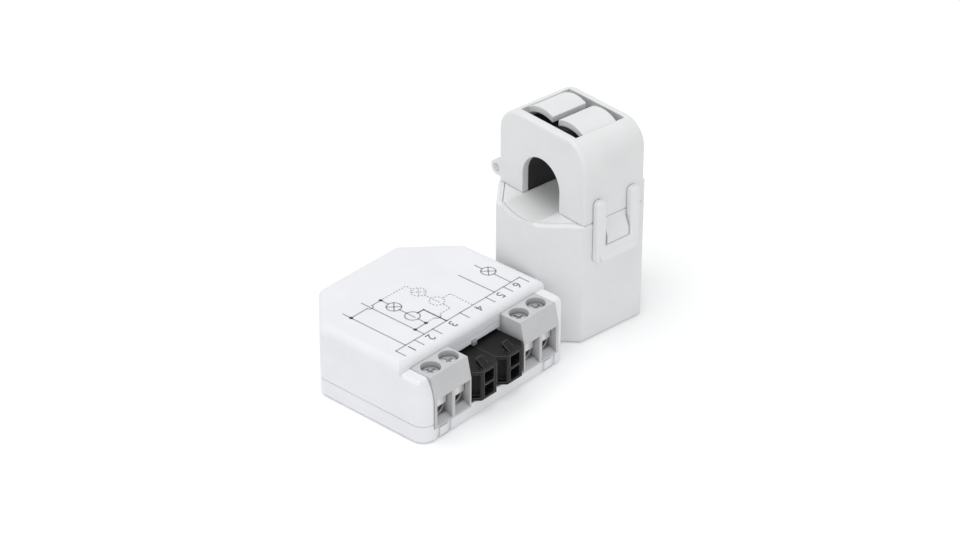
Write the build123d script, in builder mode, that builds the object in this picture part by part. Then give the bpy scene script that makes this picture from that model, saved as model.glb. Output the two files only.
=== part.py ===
from build123d import *
from math import cos, radians, sin, sqrt
import os

# A two-part energy meter set: a small in-wall meter module and the split clamp
# transformer that stands beside it. Millimetres, +Z up, both stand on Z = 0.
# The origin is the middle of the module's base. X runs along its terminals and
# -Y is the terminal side.

os.makedirs("parts", exist_ok=True)

cut_over = 1.0            # how far a cut runs past the face it opens
fit_gap = 0.05            # between pieces that slide or press together
slip_gap = 0.1            # between pieces that pass each other
press_gap = 0.01          # round a pin where it is held
part_gap = 0.6            # least space between parts on the board

# Module casing
clipped_corner_l = 9.8    # of the 45 degree back corners
front_corner_r = 3.0
corner_r = 2.0
inner_corner_r = 0.6
top_round_r = 1.8
base_chamfer = 0.5
seam_chamfer = 0.2
wall_t = 1.4
top_t = 1.5
head_room = 0.8           # over the relay
floor_t = 1.3
cover_h = 3.9             # parting line
cheek_t = 2.8             # side walls beside the terminal bay
cheek_drop = 2.0          # their tops, below the lid's
cheek_edge_r = 0.9
cheek_lean = 1.65         # their fronts curve back to the top by this much
cheek_lean_h = 5.5        # and over this height
bay_d = 6.1               # terminal bay, front to back
front_wall_t = 1.2
ledge_t = 1.1             # the cover's lip under the terminals
ledge_mid_drop = 0.4      # its middle, below the board's top
clip_w = 4.0              # snap recesses in that lip
clip_sink = 0.45
clip_tab_w = 2.1          # snap tabs inside the recesses
clip_tab_h = 1.9
clip_tab_sink = 0.1
tongue_w = 2.6            # snap tongues of the cover
tongue_t = 0.8
tongue_rise = 3.4
tongue_y_shares = (-0.12, 0.14)
barb_d = 0.35
barb_h = 0.7
post_s = 2.4              # board posts on the cover's floor

# Circuit board
board_t = 1.6
board_gap = 0.3           # board edge to wall

# Terminal blocks
pitch = 5.0
way_wall_t = 0.8          # plastic between the two pockets
way_shift = 0.15          # both ways sit this much nearer the middle
block_end_t = 0.15        # added to the block beyond its two pitches, at each end
block_h = 10.3
block_proud = 0.2
block_top_inset = 1.0     # the front face leans back to the top by this much
block_slant_h = 5.7       # height above the board where the lean begins
block_skirt = 0.9         # front skirt, below the board's top
block_edge = 0.15
pocket_front_t = 1.4
pocket_back_t = 0.4
pocket_floor_t = 0.2
wire_slot_h = 5.4         # top of the wire slot above the board
sill_drop = 0.8           # the slot's floor falls to the front by this much
screw_inset = 3.4         # screw axis behind the casing's front plane
head_d = 3.8
head_h = 1.6
head_sink = 1.0
head_edge = 0.25
shoulder_t = 0.6          # plastic shoulder under each screw head
shank_d = 2.5
drive_w = 0.55
drive_l = 2.7
drive_depth = 0.7

# Rising clamp cages and their contact bars
cage_side_gap = 0.2       # each side of a cage in its pocket
cage_metal_t = 0.4
cage_nut_t = 1.2
cage_h = 3.9
cage_depth = 3.4
cage_floor_gap = 0.1
bar_w = 1.4
bar_t = 0.4
pin_w = 0.9
pin_out = 0.5             # solder pins, below the board

# Sensor headers
header_pitch = 7.5
header_w = 7.4
header_h = 6.5
header_d = 9.4
header_proud = 1.3
header_chamfer = 1.6
socket_w = 2.75
socket_h = 2.55
socket_pitch = 3.0
socket_depth = 6.8
side_window_w = 1.75
side_window_h = 5.3
side_window_depth = 1.1
ramp_w = 1.7
ramp_l = 2.2
ramp_h = 1.35
ramp_setback = 0.6
relief_w = 0.9
relief_l = 1.5
relief_depth = 0.3
pin_s = 0.64
pin_setback = 1.6
pin_row_pitch = 2.0

# Light window and reset button
light_h = 1.4
light_lift = 0.8          # above the headers
light_pipe_w = 1.8
light_pipe_t = 1.3
light_pipe_x = -2.0
led_l = 1.6
led_w = 1.2
led_h = 0.7
button_w = 1.2
button_h = 1.0
button_lift = 0.35
button_proud = 0.5
button_leg_t = 0.8
button_travel = 0.25
switch_w = 3.4
switch_d = 3.2
switch_h = 2.6
switch_pad_w = 1.4
switch_pad_t = 0.4

# Parts on the board
relay_w = 10.1
relay_l = 15.6
relay_h = 9.8
relay_edge = 0.3
radio_w = 13.2
radio_l = 10.6
radio_t = 0.8
shield_l = 7.4
shield_h = 2.2
shield_rim = 0.8
shield_edge = 0.2
capacitor_d = 6.3
capacitor_h = 9.4
capacitor_groove = 0.35
inductor_d = 5.6
inductor_h = 6.4
inductor_waist_d = 3.8
inductor_flange_t = 1.0
varistor_d = 7.0
varistor_t = 3.4
lead_d = 0.6
resistor_d = 3.2
resistor_l = 7.0
resistor_lift = 0.3
bridge_l = 5.0
bridge_w = 4.2
bridge_h = 2.2
bridge_edge = 0.35
chip_s = 5.0
chip_h = 0.9
chip_edge = 0.1
burden_l = 3.2
burden_w = 1.6
burden_h = 0.6
burden_pitch = 2.2

# Clamp transformer, in its own frame: U along the cable hole, V across it
ct_turn = -7.21           # degrees, about Z
ct_gap = 0.36             # from the module's side to the transformer's nose
ct_y = -5.85
jaw_l = 16.3
jaw_w = 24.9
jaw_h = 17.28
jaw_end_t = 1.5
jaw_wall_t = 1.9
jaw_top_t = 2.25
jaw_shoulder_r = 5.5
jaw_edge_r = 0.7
jaw_gap = 0.12            # between the closed halves
hole_r = 5.4
hole_h = 9.88             # crown of the cable hole, above the jaw's lower face
hatch_rim_l = 1.7         # jaw top left round the spring tabs' opening
hatch_rim_w = 4.5
tab_w = 8.9
tab_t = 1.3
tab_sink = 0.35
tab_rise = 0.95
tab_tip_rise = 0.3
tab_gap = 1.7

body_h = 27.0             # height of the tub, where the halves part
body_corner_l = 6.5       # of its 45 degree corners
body_wall_t = 1.25
body_floor_t = 1.6
body_edge_r = 0.6
rim_r = 0.5
cradle_t = 2.8
saddle_depth = 1.3
saddle_land = 0.4         # deck left between the saddle and the core
rib_t = 1.6
core_lift = 6.4           # lower core above the tub's floor
core_bar_h = 5.5
bobbin_flange_t = 0.8
bobbin_wall_t = 0.8
winding_gap = 0.7         # winding below the flange's rim

pivot_rise = 2.48         # hinge axis above the jaw's lower face
pivot_out = 0.75          # and outside its wall
knuckle_r = 1.6
ear_l = 2.2               # the jaw's two hinge ears
ear_web_h = 5.0           # their webs, up the jaw's wall
hinge_pin_d = 1.6
hinge_foot_h = 2.5        # web of the tub's knuckle, down its wall

loop_w = 11.4             # latch loop
prong_w = 2.4
loop_t = 1.4
loop_rise = 4.8           # above the jaw's lower face
loop_drop = 8.9           # below the top of the tub
loop_bar_h = 3.5
loop_round_r = 0.9
loop_edge_r = 0.4
loop_lip_t = 0.6          # finger lip along its foot
loop_lip_h = 1.7
loop_lip_r = 0.25
catch_side_gap = 0.45     # between the catch and each prong
catch_t = 1.35
catch_land_h = 1.7
catch_gap = 0.2

lead_hole_d = 4.2
lead_z = 6.5
bush_flange_d = 6.4
bush_flange_t = 0.8
bush_bore_d = 2.6
bush_inside = 1.2

# The casing is as large as what it holds
block_w = 2 * (pitch + block_end_t)
pocket_w = pitch - way_wall_t
cage_w = pocket_w - 2 * cage_side_gap
bay_half = header_pitch / 2 + header_w / 2 + 2 * slip_gap + block_w + fit_gap
module_w = 2 * (bay_half + cheek_t)
module_d = bay_d + front_wall_t + relay_l + radio_l + 3 * part_gap + board_gap + wall_t
module_h = cover_h + relay_h + head_room + top_t
front_y = -module_d / 2
front_wall_y = front_y + bay_d
inner_front_y = front_wall_y + front_wall_t
ledge_back_y = front_y + ledge_t
board_top = cover_h
board_base = board_top - board_t
board_front_y = ledge_back_y + slip_gap
ledge_h = board_top - block_skirt - slip_gap

# Places in the terminal bay
block_x = bay_half - fit_gap - block_w / 2
block_top = board_top + block_h
block_front_y = front_y - block_proud
way_xs = [
    side * (block_x - way_shift) + step * pitch / 2
    for side in (-1, 1)
    for step in (-1, 1)
]
screw_y = front_y + screw_inset
head_top = block_top - head_sink
head_base = head_top - head_h
pocket_top = head_base - shoulder_t
pocket_front_y = block_front_y + pocket_front_t
pocket_back_y = front_wall_y - fit_gap - pocket_back_t
pocket_floor = board_top + pocket_floor_t
cage_base = pocket_floor + cage_floor_gap
cage_top = cage_base + cage_h
cage_roof = cage_top - cage_nut_t
bar_top = cage_roof - slip_gap
guard_top = board_top + wire_slot_h - slip_gap
header_front_y = front_y - header_proud
header_back_y = header_front_y + header_d
header_top = board_top + header_h
light_base = header_top + light_lift
light_top = light_base + light_h
button_base = header_top + button_lift
button_leg_y = header_back_y + part_gap
switch_front_y = button_leg_y + button_leg_t + button_travel + fit_gap

# Places of the transformer
body_l = jaw_l + 2 * body_corner_l
body_w = jaw_w + 2 * fit_gap
ct_u = (cos(radians(ct_turn)), sin(radians(ct_turn)), 0)
ct_v = (-ct_u[1], ct_u[0], 0)
ct_x = module_w / 2 + ct_gap + ct_u[0] * body_l / 2 + ct_v[0] * (body_w / 2 - body_corner_l)
ct_plan = Plane(origin=(ct_x, ct_y, 0), x_dir=ct_u, z_dir=(0, 0, 1))
ct_face = Plane(origin=(ct_x, ct_y, 0), x_dir=ct_v, z_dir=ct_u)
ct_side = Plane(origin=(ct_x, ct_y, 0), x_dir=ct_u, z_dir=(-ct_v[0], -ct_v[1], 0))
jaw_z = body_h + jaw_gap
jaw_top_z = jaw_z + jaw_h
hole_top_z = jaw_z + hole_h
hole_centre_z = hole_top_z - hole_r
core_top_z = jaw_top_z - jaw_top_t - fit_gap
core_half_l = jaw_l / 2 - jaw_end_t - fit_gap
core_reach = jaw_w / 2 - jaw_wall_t - fit_gap
core_shoulder_r = jaw_shoulder_r - jaw_wall_t
pivot_v = jaw_w / 2 + pivot_out
pivot_z = jaw_z + pivot_rise
loop_v = -body_w / 2 - slip_gap
catch_w = loop_w - 2 * (prong_w + catch_side_gap)
loop_top_z = jaw_z + loop_rise
loop_bottom_z = body_h - loop_drop
cradle_base = body_h - cradle_t
lower_core_z = body_floor_t + core_lift


def block(plane, low, high, mode=Mode.ADD):
    """A block between two corners given in a plane's own x, y and z."""
    with BuildSketch(plane.offset(low[2])) as outline:
        with Locations(((low[0] + high[0]) / 2, (low[1] + high[1]) / 2)):
            Rectangle(high[0] - low[0], high[1] - low[1])
    extrude(outline.sketch, amount=high[2] - low[2], mode=mode)


def rod(plane, spot, diameter, low, high, mode=Mode.ADD):
    """A round rod along a plane's normal, from one height above it to another."""
    with BuildSketch(plane.offset(low)) as outline:
        with Locations(spot):
            Circle(diameter / 2)
    extrude(outline.sketch, amount=high - low, mode=mode)


def module_plan(height, inset, thickness, mode=Mode.ADD):
    """The module's plan with its clipped back corners, drawn in by an inset."""
    side = module_w / 2 - inset
    front = front_y + inset
    back = -front_y - inset
    leg = clipped_corner_l - inset * (2 - sqrt(2))
    with BuildSketch(Plane.XY.offset(height)) as outline:
        with BuildLine():
            Polyline(
                (-side, front), (side, front), (side, back - leg),
                (side - leg, back), (leg - side, back), (-side, back - leg),
                close=True,
            )
        make_face()
        back_corners = outline.vertices().filter_by(lambda corner: corner.Y > 0)
        fillet(back_corners, inner_corner_r if inset > 0 else corner_r)
        front_corners = outline.vertices().group_by(Axis.Y)[0]
        fillet(front_corners, inner_corner_r if inset > 0 else front_corner_r)
    extrude(outline.sketch, amount=thickness, mode=mode)


def octagon(height, inset, thickness, mode=Mode.ADD):
    """The transformer's eight-sided plan, drawn in by an inset."""
    half_l = body_l / 2 - inset
    half_w = body_w / 2 - inset
    leg = body_corner_l - inset * (2 - sqrt(2))
    with BuildSketch(ct_plan.offset(height)) as outline:
        with BuildLine():
            Polyline(
                (-half_l, leg - half_w), (leg - half_l, -half_w),
                (half_l - leg, -half_w), (half_l, leg - half_w),
                (half_l, half_w - leg), (half_l - leg, half_w),
                (leg - half_l, half_w), (-half_l, half_w - leg),
                close=True,
            )
        make_face()
    extrude(outline.sketch, amount=thickness, mode=mode)


def cable_hole():
    """Cuts the arched cable hole, which is open below."""
    with BuildSketch(ct_face.offset(-jaw_l)) as outline:
        with BuildLine():
            Polyline(
                (-hole_r, hole_centre_z), (-hole_r, jaw_z - cut_over),
                (hole_r, jaw_z - cut_over), (hole_r, hole_centre_z),
            )
            ThreePointArc((hole_r, hole_centre_z), (0, hole_top_z), (-hole_r, hole_centre_z))
        make_face()
    extrude(outline.sketch, amount=2 * jaw_l, mode=Mode.SUBTRACT)


def saddle():
    """Cuts the shallow round hollow under the cable, through both noses."""
    middle = (0, body_h - saddle_depth + saddle_r)
    rod(ct_face, middle, 2 * saddle_r, -body_l, body_l, Mode.SUBTRACT)


def round_shoulders(height_low, height_high, half_width, shoulder_r, half_length, mode=Mode.ADD):
    """The jaw's section, a block with two rounded shoulders, along the cable hole."""
    with BuildSketch(ct_face.offset(-half_length)) as outline:
        with Locations((0, (height_low + height_high) / 2)):
            Rectangle(2 * half_width, height_high - height_low)
        fillet(outline.vertices().group_by(Axis.Y)[-1], shoulder_r)
    extrude(outline.sketch, amount=2 * half_length, mode=mode)


def side_tongues(start, stop, x_from, x_to, width, mode=Mode.ADD):
    """Blocks along both side walls where the cover's tongues stand, by depth from the wall."""
    wall_x = module_w / 2 - wall_t
    for side in (-1, 1):
        for share in tongue_y_shares:
            near, far = sorted((side * (wall_x + x_from), side * (wall_x + x_to)))
            middle = share * module_d
            block(
                Plane.XY, (near, middle - width / 2, start), (far, middle + width / 2, stop), mode
            )


def save(part, name):
    """Labels a finished piece and writes it to its own file."""
    part.label = name
    export_step(part, f"parts/{name}.step")


# Top housing: a moulded lid with a bay across its front for the terminals
barb_top = cover_h + tongue_rise
cheek_top = module_h - cheek_drop
cheek_lean_z = cheek_top - cheek_lean_h
with BuildPart() as housing_hollow:
    module_plan(cover_h - cut_over, wall_t, module_h - top_t - cover_h + cut_over)
    block(
        Plane.XY,
        (-module_w, 2 * front_y, 0), (module_w, inner_front_y, module_h), Mode.SUBTRACT,
    )

with BuildPart() as housing_crown:
    module_plan(cheek_lean_z, 0, module_h - cheek_lean_z)
    fillet(housing_crown.faces().sort_by(Axis.Z)[-1].edges(), top_round_r)
    with BuildSketch(Plane.YZ.offset(-module_w)):
        with BuildLine():
            Polyline(
                (front_wall_y + top_round_r, module_h),
                (front_wall_y + top_round_r, module_h + cut_over),
                (front_y - cut_over, module_h + cut_over),
                (front_y - cut_over, 0),
                (front_wall_y, 0),
                (front_wall_y, module_h - top_round_r),
            )
            TangentArc(
                (front_wall_y, module_h - top_round_r),
                (front_wall_y + top_round_r, module_h),
                tangent=(0, 1),
            )
        make_face()
    extrude(amount=2 * module_w, mode=Mode.SUBTRACT)

with BuildPart() as top_housing:
    module_plan(cover_h, 0, cheek_top - cover_h)
    with BuildSketch(Plane.YZ.offset(-module_w)):
        with BuildLine():
            Polyline(
                (front_y + cheek_lean, cheek_top),
                (front_y + cheek_lean, cheek_top + cut_over),
                (front_y - cut_over, cheek_top + cut_over),
                (front_y - cut_over, cheek_lean_z),
                (front_y, cheek_lean_z),
            )
            TangentArc(
                (front_y, cheek_lean_z), (front_y + cheek_lean, cheek_top), tangent=(0, 1)
            )
        make_face()
    extrude(amount=2 * module_w, mode=Mode.SUBTRACT)
    fillet(top_housing.faces().sort_by(Axis.Z)[-1].edges(), cheek_edge_r)
    chamfer(top_housing.faces().sort_by(Axis.Z)[0].edges(), seam_chamfer)
    add(housing_crown.part)
    block(
        Plane.XY,
        (-bay_half, 2 * front_y, 0), (bay_half, front_wall_y, module_h), Mode.SUBTRACT,
    )
    add(housing_hollow.part, mode=Mode.SUBTRACT)
    block(
        Plane.XY,
        (-header_pitch - fit_gap, front_wall_y - cut_over, cover_h - cut_over),
        (header_pitch + fit_gap, inner_front_y + cut_over, light_top + fit_gap),
        Mode.SUBTRACT,
    )
    side_tongues(
        barb_top - barb_h - slip_gap, barb_top + slip_gap, -slip_gap, barb_d + fit_gap,
        tongue_w + 2 * slip_gap, Mode.SUBTRACT,
    )
save(top_housing.part, "top_housing")

# Bottom cover: a tray with a low lip under the terminals and four snap tongues
post_x = module_w / 2 - wall_t - post_s
with BuildPart() as cover_hollow:
    module_plan(floor_t, wall_t, cover_h)
    block(
        Plane.XY, (-module_w, 2 * front_y, 0), (module_w, front_wall_y, 2 * cover_h), Mode.SUBTRACT
    )

with BuildPart() as bottom_cover:
    module_plan(0, 0, cover_h)
    chamfer(bottom_cover.faces().sort_by(Axis.Z)[0].edges(), base_chamfer)
    add(cover_hollow.part, mode=Mode.SUBTRACT)
    block(
        Plane.XY,
        (-bay_half, ledge_back_y, floor_t),
        (bay_half, front_wall_y + cut_over, cover_h + cut_over),
        Mode.SUBTRACT,
    )
    block(
        Plane.XY,
        (-bay_half, front_y - cut_over, ledge_h),
        (bay_half, ledge_back_y + cut_over, cover_h + cut_over),
        Mode.SUBTRACT,
    )
    block(
        Plane.XY,
        (-header_pitch, front_y, floor_t),
        (header_pitch, ledge_back_y, board_top - ledge_mid_drop),
    )
    for clip_x in (way_xs[0], way_xs[-1]):
        block(
            Plane.XY,
            (clip_x - clip_w / 2, front_y - cut_over, base_chamfer),
            (clip_x + clip_w / 2, front_y + clip_sink, cover_h),
            Mode.SUBTRACT,
        )
        block(
            Plane.XY,
            (clip_x - clip_tab_w / 2, front_y + clip_tab_sink, base_chamfer),
            (clip_x + clip_tab_w / 2, ledge_back_y, base_chamfer + clip_tab_h),
        )
    for post_y in (board_front_y + ledge_t + post_s / 2, post_s):
        for middle in (-post_x, 0, post_x):
            block(
                Plane.XY,
                (middle - post_s / 2, post_y - post_s / 2, floor_t - fit_gap),
                (middle + post_s / 2, post_y + post_s / 2, board_base),
            )
    side_tongues(floor_t - fit_gap, barb_top, -tongue_t - slip_gap, -slip_gap, tongue_w)
    side_tongues(barb_top - barb_h, barb_top, -tongue_t, barb_d, tongue_w)
save(bottom_cover.part, "bottom_cover")

# Circuit board, notched round the tongues and drilled for every solder pin
with BuildPart() as circuit_board:
    module_plan(board_base, wall_t + board_gap, board_t)
    block(
        Plane.XY, (-module_w, 2 * front_y, 0), (module_w, board_front_y, module_h), Mode.SUBTRACT
    )
    for side in (-1, 1):
        near, far = sorted((side * (bay_half - board_gap), side * module_w))
        block(
            Plane.XY,
            (near, 2 * front_y, 0), (far, inner_front_y + board_gap, module_h), Mode.SUBTRACT,
        )
    side_tongues(
        0, module_h, -tongue_t - 2 * slip_gap - board_gap, wall_t,
        tongue_w + 2 * board_gap, Mode.SUBTRACT,
    )
    for way_x in way_xs:
        spot = (way_x, pocket_back_y - bar_t / 2)
        rod(Plane.XY, spot, pin_w + 2 * slip_gap, 0, module_h, Mode.SUBTRACT)
    for side in (-1, 1):
        for row in (0, 1):
            spot = (side * header_pitch / 2, header_back_y + part_gap + row * pin_row_pitch)
            rod(Plane.XY, spot, pin_s * sqrt(2) + slip_gap, 0, module_h, Mode.SUBTRACT)
save(circuit_board.part, "circuit_board")


# Two-way screw terminals with rising clamps
def terminal_block(side):
    """A grey moulded block: two wire slots in front, two screw wells on top."""
    with BuildPart() as moulding:
        with BuildSketch(Plane.YZ.offset(side * block_x - block_w / 2)):
            with BuildLine():
                Polyline(
                    (front_wall_y - fit_gap, board_top),
                    (front_wall_y - fit_gap, block_top),
                    (block_front_y + block_top_inset, block_top),
                    (block_front_y, board_top + block_slant_h),
                    (block_front_y, board_top - block_skirt),
                    (board_front_y - fit_gap, board_top - block_skirt),
                    (board_front_y - fit_gap, board_top),
                    close=True,
                )
            make_face()
        extrude(amount=block_w)
        chamfer(moulding.faces().sort_by(Axis.Z)[-1].edges().filter_by(Axis.Y), block_edge)
        for step in (-1, 1):
            way_x = side * (block_x - way_shift) + step * pitch / 2
            spot = (way_x, screw_y)
            block(
                Plane.XY,
                (way_x - pocket_w / 2, pocket_front_y, pocket_floor),
                (way_x + pocket_w / 2, pocket_back_y, pocket_top),
                Mode.SUBTRACT,
            )
            block(
                Plane.XY,
                (way_x - pocket_w / 2, block_front_y - cut_over, pocket_floor),
                (way_x + pocket_w / 2, pocket_back_y, board_top + wire_slot_h),
                Mode.SUBTRACT,
            )
            with BuildSketch(Plane.YZ.offset(way_x - pocket_w / 2)):
                with BuildLine():
                    Polyline(
                        (pocket_front_y, pocket_floor),
                        (block_front_y, pocket_floor - sill_drop),
                        (block_front_y - cut_over, pocket_floor - sill_drop),
                        (block_front_y - cut_over, pocket_floor),
                        close=True,
                    )
                make_face()
            extrude(amount=pocket_w, mode=Mode.SUBTRACT)
            rod(
                Plane.XY, spot, head_d + 2 * slip_gap, head_base, block_top + cut_over,
                Mode.SUBTRACT,
            )
            rod(Plane.XY, spot, shank_d + 2 * slip_gap, pocket_floor, head_top, Mode.SUBTRACT)
            block(
                Plane.XY,
                (way_x - pin_w / 2 - fit_gap, pocket_back_y - bar_t - fit_gap, 0),
                (way_x + pin_w / 2 + fit_gap, pocket_back_y, pocket_top),
                Mode.SUBTRACT,
            )
    return moulding.part


def terminal_contacts(side):
    """Two bent strips: a guard plate, the bar each wire is clamped to, and the solder pin."""
    with BuildPart() as strips:
        for step in (-1, 1):
            way_x = side * (block_x - way_shift) + step * pitch / 2
            guard_back_y = pocket_front_y + bar_t
            strip_y = pocket_back_y - bar_t
            for half, front, back, low, high in (
                (cage_w / 2, pocket_front_y, guard_back_y, bar_top - bar_t, guard_top),
                (bar_w / 2, pocket_front_y, pocket_back_y, bar_top - bar_t, bar_top),
                (bar_w / 2, strip_y, pocket_back_y, pocket_floor + fit_gap, bar_top),
                (pin_w / 2, strip_y, pocket_back_y, board_base - pin_out, bar_top),
            ):
                block(Plane.XY, (way_x - half, front, low), (way_x + half, back, high))
    return strips.part


def terminal_screw(way_x):
    """A cheese-head clamp screw with a cross-slotted head."""
    with BuildPart() as screw:
        rod(Plane.XY, (way_x, screw_y), head_d, head_base, head_top)
        chamfer(screw.faces().sort_by(Axis.Z)[-1].edges(), head_edge)
        rod(Plane.XY, (way_x, screw_y), shank_d, cage_roof, head_base)
        for length, width in ((drive_l, drive_w), (drive_w, drive_l)):
            block(
                Plane.XY,
                (way_x - length / 2, screw_y - width / 2, head_top - drive_depth),
                (way_x + length / 2, screw_y + width / 2, head_top + cut_over),
                Mode.SUBTRACT,
            )
    return screw.part


def clamp_cage(way_x):
    """A steel stirrup with a round foot and a threaded roof."""
    start_y = screw_y - cage_depth / 2
    with BuildPart() as cage:
        for half, low, high, mode in (
            (cage_w / 2, cage_base, cage_top, Mode.ADD),
            (cage_w / 2 - cage_metal_t, cage_base + cage_metal_t, cage_roof, Mode.SUBTRACT),
        ):
            with BuildSketch(Plane.XZ.offset(-start_y)):
                with BuildLine():
                    Polyline(
                        (way_x - half, low + half), (way_x - half, high),
                        (way_x + half, high), (way_x + half, low + half),
                    )
                    ThreePointArc((way_x + half, low + half), (way_x, low), (way_x - half, low + half))
                make_face()
            extrude(amount=-cage_depth, mode=mode)
        hole_d = shank_d + 2 * fit_gap
        rod(Plane.XY, (way_x, screw_y), hole_d, cage_roof - fit_gap, module_h, Mode.SUBTRACT)
    return cage.part


for number, way_x in enumerate(way_xs, start=1):
    save(terminal_screw(way_x), f"terminal_screw_{number}")
    save(clamp_cage(way_x), f"clamp_cage_{number}")

for side_name, side in (("left", -1), ("right", 1)):
    save(terminal_block(side), f"terminal_block_{side_name}")
    save(terminal_contacts(side), f"terminal_contacts_{side_name}")


# Two-pin sensor headers, side by side between the terminal blocks
def sensor_header(centre_x):
    """A black shroud with two stacked sockets and a latch ramp on top."""
    half = header_w / 2
    ramp_y = header_front_y + ramp_setback
    with BuildPart() as shroud:
        with BuildSketch(Plane.XY.offset(board_top)):
            with BuildLine():
                Polyline(
                    (centre_x - half, header_back_y),
                    (centre_x - half, header_front_y + header_chamfer),
                    (centre_x - half + header_chamfer, header_front_y),
                    (centre_x + half - header_chamfer, header_front_y),
                    (centre_x + half, header_front_y + header_chamfer),
                    (centre_x + half, header_back_y),
                    close=True,
                )
            make_face()
        extrude(amount=header_h)
        for side in (-1, 1):
            facet = Plane(
                origin=(
                    centre_x + side * (half - header_chamfer / 2),
                    header_front_y + header_chamfer / 2,
                    board_top + header_h / 2,
                ),
                x_dir=(1, side, 0),
                z_dir=(side, -1, 0),
            )
            block(
                facet,
                (-side_window_w / 2, -side_window_h / 2, -side_window_depth),
                (side_window_w / 2, side_window_h / 2, cut_over),
                Mode.SUBTRACT,
            )
            near, far = sorted((
                centre_x + side * ramp_w / 2, centre_x + side * (ramp_w / 2 + relief_w)
            ))
            block(
                Plane.XY,
                (near, ramp_y, header_top - relief_depth),
                (far, ramp_y + relief_l, header_top + cut_over),
                Mode.SUBTRACT,
            )
        with BuildSketch(Plane.YZ.offset(centre_x - ramp_w / 2)):
            with BuildLine():
                Polyline(
                    (ramp_y, header_top),
                    (ramp_y + ramp_l, header_top + ramp_h),
                    (ramp_y + ramp_l, header_top - relief_depth),
                    (ramp_y, header_top - relief_depth),
                    close=True,
                )
            make_face()
        extrude(amount=ramp_w)
        for row in (-1, 1):
            middle = board_top + header_h / 2 + row * socket_pitch / 2
            hole = pin_s / 2 + fit_gap
            block(
                Plane.XY,
                (centre_x - socket_w / 2, header_front_y - cut_over, middle - socket_h / 2),
                (centre_x + socket_w / 2, header_front_y + socket_depth, middle + socket_h / 2),
                Mode.SUBTRACT,
            )
            block(
                Plane.XY,
                (centre_x - hole, header_front_y, middle - hole),
                (centre_x + hole, header_back_y + cut_over, middle + hole),
                Mode.SUBTRACT,
            )
    return shroud.part


def header_pins(centre_x):
    """Two square pins, bent down behind the shroud into the board."""
    reach = pin_s / 2
    with BuildPart() as pins:
        for row in (0, 1):
            middle = board_top + header_h / 2 + (2 * row - 1) * socket_pitch / 2
            leg_y = header_back_y + part_gap + row * pin_row_pitch
            for front, low in (
                (header_front_y + pin_setback, middle - reach),
                (leg_y - reach, board_base - pin_out),
            ):
                block(
                    Plane.XY,
                    (centre_x - reach, front, low), (centre_x + reach, leg_y + reach, middle + reach),
                )
    return pins.part


for letter, side in (("a", -1), ("b", 1)):
    save(sensor_header(side * header_pitch / 2), f"sensor_header_{letter}")
    save(header_pins(side * header_pitch / 2), f"header_pins_{letter}")

# Light window: a clear bar in the front wall, with a pipe down to the lamp
pipe_front_y = header_back_y + part_gap
led_y = pipe_front_y + light_pipe_t / 2
with BuildPart() as light_window:
    block(
        Plane.XY,
        (-header_pitch, front_wall_y, light_base), (header_pitch, inner_front_y, light_top),
    )
    for front, low in ((inner_front_y - fit_gap, light_base), (pipe_front_y, board_top + led_h + slip_gap)):
        block(
            Plane.XY,
            (light_pipe_x - light_pipe_w / 2, front, low),
            (light_pipe_x + light_pipe_w / 2, pipe_front_y + light_pipe_t, light_top),
        )
    block(
        Plane.XY,
        (-button_w / 2 - fit_gap, 2 * front_y, 0),
        (button_w / 2 + fit_gap, 0, button_base + button_h + fit_gap),
        Mode.SUBTRACT,
    )
save(light_window.part, "light_window")

with BuildPart() as status_led:
    block(
        Plane.XY,
        (light_pipe_x - led_l / 2, led_y - led_w / 2, board_top),
        (light_pipe_x + led_l / 2, led_y + led_w / 2, board_top + led_h),
    )
    chamfer(status_led.faces().sort_by(Axis.Z)[-1].edges(), led_h / 4)
save(status_led.part, "status_led")

# Reset button: a plunger with a leg down to a side-acting switch
pad_z = board_top + switch_h / 2
with BuildPart() as reset_button:
    block(
        Plane.XY,
        (-button_w / 2, front_wall_y - button_proud, button_base),
        (button_w / 2, button_leg_y + button_leg_t, button_base + button_h),
    )
    fillet(reset_button.faces().sort_by(Axis.Y)[0].edges(), button_h / 5)
    block(
        Plane.XY,
        (-button_w / 2, button_leg_y, pad_z - switch_pad_w / 2),
        (button_w / 2, button_leg_y + button_leg_t, button_base + button_h),
    )
save(reset_button.part, "reset_button")

with BuildPart() as reset_switch:
    block(
        Plane.XY,
        (-switch_w / 2, switch_front_y + switch_pad_t, board_top),
        (switch_w / 2, switch_front_y + switch_pad_t + switch_d, board_top + switch_h),
    )
    chamfer(reset_switch.edges().filter_by(Axis.Z), switch_pad_t / 2)
    block(
        Plane.XY,
        (-switch_pad_w / 2, switch_front_y, pad_z - switch_pad_w / 2),
        (switch_pad_w / 2, switch_front_y + 2 * switch_pad_t, pad_z + switch_pad_w / 2),
    )
save(reset_switch.part, "reset_switch")

# Relay, radio module and its shield
inner_x = module_w / 2 - wall_t - tongue_t - 2 * slip_gap - board_gap - part_gap / 2
relay_x = inner_x - relay_w / 2
relay_y = inner_front_y + part_gap + relay_l / 2
with BuildPart() as relay:
    with BuildSketch(Plane.XY.offset(board_top)):
        with Locations((relay_x, relay_y)):
            RectangleRounded(relay_w, relay_l, 2 * relay_edge)
    extrude(amount=relay_h)
    chamfer(relay.faces().sort_by(Axis.Z)[-1].edges(), relay_edge)
save(relay.part, "relay")

capacitor_xs = [capacitor_d / 2 - inner_x, 3 * capacitor_d / 2 + slip_gap - inner_x]
radio_x = capacitor_xs[1] + capacitor_d / 2 + part_gap + radio_w / 2
radio_front_y = relay_y + relay_l / 2 + part_gap
with BuildPart() as radio_board:
    block(
        Plane.XY,
        (radio_x - radio_w / 2, radio_front_y, board_top),
        (radio_x + radio_w / 2, radio_front_y + radio_l, board_top + radio_t),
    )
save(radio_board.part, "radio_board")

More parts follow.
